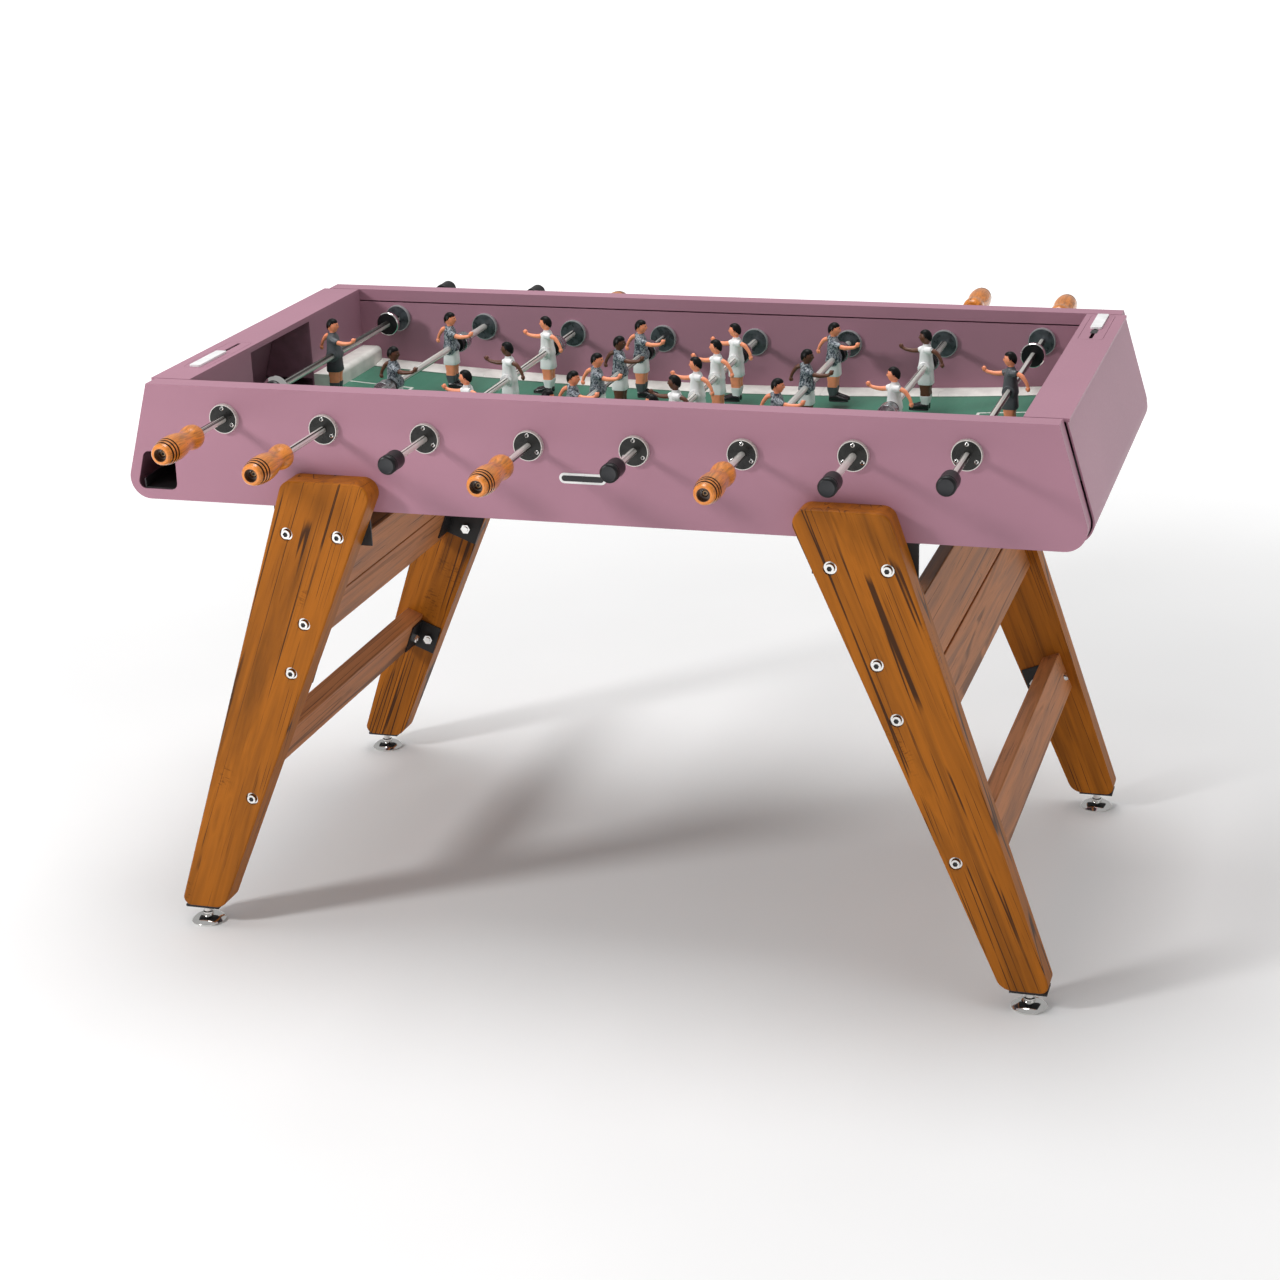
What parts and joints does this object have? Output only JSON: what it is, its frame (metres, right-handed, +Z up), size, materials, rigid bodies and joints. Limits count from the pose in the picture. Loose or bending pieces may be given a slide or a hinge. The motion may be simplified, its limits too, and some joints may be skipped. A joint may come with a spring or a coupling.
{
  "type": "foosball table",
  "caption": "Foosball table with a folded-steel cabinet and curved field on splayed timber legs; rods of figures slide and spin in flanged bearings.",
  "frame": {"origin": "on the floor under the middle of the bounding box at rest, handles included, with the levelling feet screwed fully in; the middle of the playfield lies at y = -0.0405 m", "axes": "+X from the left goal to the right goal, along the table; +Y from the side with the ball outlet at its left end to the other side; +Z up"},
  "size_m": [1.4948, 1.332, 0.9116],
  "materials": {
    "cabinet_paint": "fine satin powder coat, dusty mauve",
    "field_green": "smooth green laminate with printed lines",
    "border_white": "satin off-white",
    "chute_dark": "satin dark mauve-brown",
    "bearing_dark": "polished dark chrome with a bright rim",
    "bright_steel": "bright plated steel",
    "rod_steel": "polished stainless steel",
    "leg_wood": "oiled golden-brown hardwood with dark straight grain",
    "stretcher_wood": "oiled pinkish-brown hardwood",
    "handle_wood": "varnished honey-coloured turned hardwood with burnt rings",
    "bracket_black": "black powder coat",
    "bumper_black": "black rubber, with metal collars on the stop hubs",
    "figure_paint": "cast figures, hand-painted in two plain team kits",
    "badge_white": "plain white"
  },
  "bodies": {
    "table": {"front_side_panel": "cabinet_paint", "back_side_panel": "cabinet_paint", "inner_side_walls": "cabinet_paint", "left_end_cover": "cabinet_paint", "right_end_cover": "cabinet_paint", "inner_end_walls": "cabinet_paint", "playfield": "field_green", "field_borders": "border_white", "ball_returns": "chute_dark", "base_pan": "cabinet_paint", "outer_bearings": "bearing_dark", "inner_bearings": "bearing_dark", "bearing_screws": "bright_steel", "leg_front_left": "leg_wood", "leg_front_right": "leg_wood", "leg_back_left": "leg_wood", "leg_back_right": "leg_wood", "leg_stretchers": "stretcher_wood", "leg_brackets": "bracket_black", "leg_bolts": "bright_steel", "score_inserts": "cabinet_paint", "front_badge": "badge_white"},
    "carriage_1": {"bumpers_1": "bumper_black"},
    "rod_1": {"rod_1": "rod_steel", "handle_1": "handle_wood", "players_1": "figure_paint"},
    "carriage_2": {"bumpers_2": "bumper_black"},
    "rod_2": {"rod_2": "rod_steel", "handle_2": "handle_wood", "players_2": "figure_paint"},
    "carriage_3": {"bumpers_3": "bumper_black"},
    "rod_3": {"rod_3": "rod_steel", "handle_3": "handle_wood", "players_3": "figure_paint"},
    "carriage_4": {"bumpers_4": "bumper_black"},
    "rod_4": {"rod_4": "rod_steel", "handle_4": "handle_wood", "players_4": "figure_paint"},
    "carriage_5": {"bumpers_5": "bumper_black"},
    "rod_5": {"rod_5": "rod_steel", "handle_5": "handle_wood", "players_5": "figure_paint"},
    "carriage_6": {"bumpers_6": "bumper_black"},
    "rod_6": {"rod_6": "rod_steel", "handle_6": "handle_wood", "players_6": "figure_paint"},
    "carriage_7": {"bumpers_7": "bumper_black"},
    "rod_7": {"rod_7": "rod_steel", "handle_7": "handle_wood", "players_7": "figure_paint"},
    "carriage_8": {"bumpers_8": "bumper_black"},
    "rod_8": {"rod_8": "rod_steel", "handle_8": "handle_wood", "players_8": "figure_paint"},
    "score_left": {"score_slider_left": "badge_white"},
    "score_right": {"score_slider_right": "badge_white"},
    "foot_front_left": {"foot_front_left": "bright_steel"},
    "foot_front_right": {"foot_front_right": "bright_steel"},
    "foot_back_left": {"foot_back_left": "bright_steel"},
    "foot_back_right": {"foot_back_right": "bright_steel"}
  },
  "joints": [
    {"name": "slide_1", "type": "slide", "parent": "table", "child": "carriage_1", "axis": [0, 1, 0], "range_m": [-0.127, 0.025]},
    {"name": "spin_1", "type": "hinge", "parent": "carriage_1", "child": "rod_1", "pos_m": [-0.5705, -0.0405, 0.8511], "axis": [0, 1, 0], "continuous": true},
    {"name": "slide_2", "type": "slide", "parent": "table", "child": "carriage_2", "axis": [0, 1, 0], "range_m": [-0.1847, 0.1017]},
    {"name": "spin_2", "type": "hinge", "parent": "carriage_2", "child": "rod_2", "pos_m": [-0.4075, -0.0405, 0.84194], "axis": [0, 1, 0], "continuous": true},
    {"name": "slide_3", "type": "slide", "parent": "table", "child": "carriage_3", "axis": [0, 1, 0], "range_m": [-0.078, 0.078]},
    {"name": "spin_3", "type": "hinge", "parent": "carriage_3", "child": "rod_3", "pos_m": [-0.2445, -0.0405, 0.83583], "axis": [0, 1, 0], "continuous": true},
    {"name": "slide_4", "type": "slide", "parent": "table", "child": "carriage_4", "axis": [0, 1, 0], "range_m": [-0.0002, 0.0722]},
    {"name": "spin_4", "type": "hinge", "parent": "carriage_4", "child": "rod_4", "pos_m": [-0.0815, -0.0405, 0.83278], "axis": [0, 1, 0], "continuous": true},
    {"name": "slide_5", "type": "slide", "parent": "table", "child": "carriage_5", "axis": [0, 1, 0], "range_m": [-0.0002, 0.0722]},
    {"name": "spin_5", "type": "hinge", "parent": "carriage_5", "child": "rod_5", "pos_m": [0.0815, -0.0405, 0.83278], "axis": [0, 1, 0], "continuous": true},
    {"name": "slide_6", "type": "slide", "parent": "table", "child": "carriage_6", "axis": [0, 1, 0], "range_m": [-0.108, 0.048]},
    {"name": "spin_6", "type": "hinge", "parent": "carriage_6", "child": "rod_6", "pos_m": [0.2445, -0.0405, 0.83583], "axis": [0, 1, 0], "continuous": true},
    {"name": "slide_7", "type": "slide", "parent": "table", "child": "carriage_7", "axis": [0, 1, 0], "range_m": [-0.1827, 0.1037]},
    {"name": "spin_7", "type": "hinge", "parent": "carriage_7", "child": "rod_7", "pos_m": [0.4075, -0.0405, 0.84194], "axis": [0, 1, 0], "continuous": true},
    {"name": "slide_8", "type": "slide", "parent": "table", "child": "carriage_8", "axis": [0, 1, 0], "range_m": [-0.076, 0.076]},
    {"name": "spin_8", "type": "hinge", "parent": "carriage_8", "child": "rod_8", "pos_m": [0.5705, -0.0405, 0.8511], "axis": [0, 1, 0], "continuous": true},
    {"name": "score_slide_left", "type": "slide", "parent": "table", "child": "score_left", "axis": [0, 1, 0], "range_m": [0, 0.07]},
    {"name": "score_slide_right", "type": "slide", "parent": "table", "child": "score_right", "axis": [0, 1, 0], "range_m": [-0.07, 0]},
    {"name": "level_front_left", "type": "slide", "parent": "table", "child": "foot_front_left", "axis": [0, 0, -1], "range_m": [0, 0.015]},
    {"name": "level_front_right", "type": "slide", "parent": "table", "child": "foot_front_right", "axis": [0, 0, -1], "range_m": [0, 0.015]},
    {"name": "level_back_left", "type": "slide", "parent": "table", "child": "foot_back_left", "axis": [0, 0, -1], "range_m": [0, 0.015]},
    {"name": "level_back_right", "type": "slide", "parent": "table", "child": "foot_back_right", "axis": [0, 0, -1], "range_m": [0, 0.015]}
  ]
}
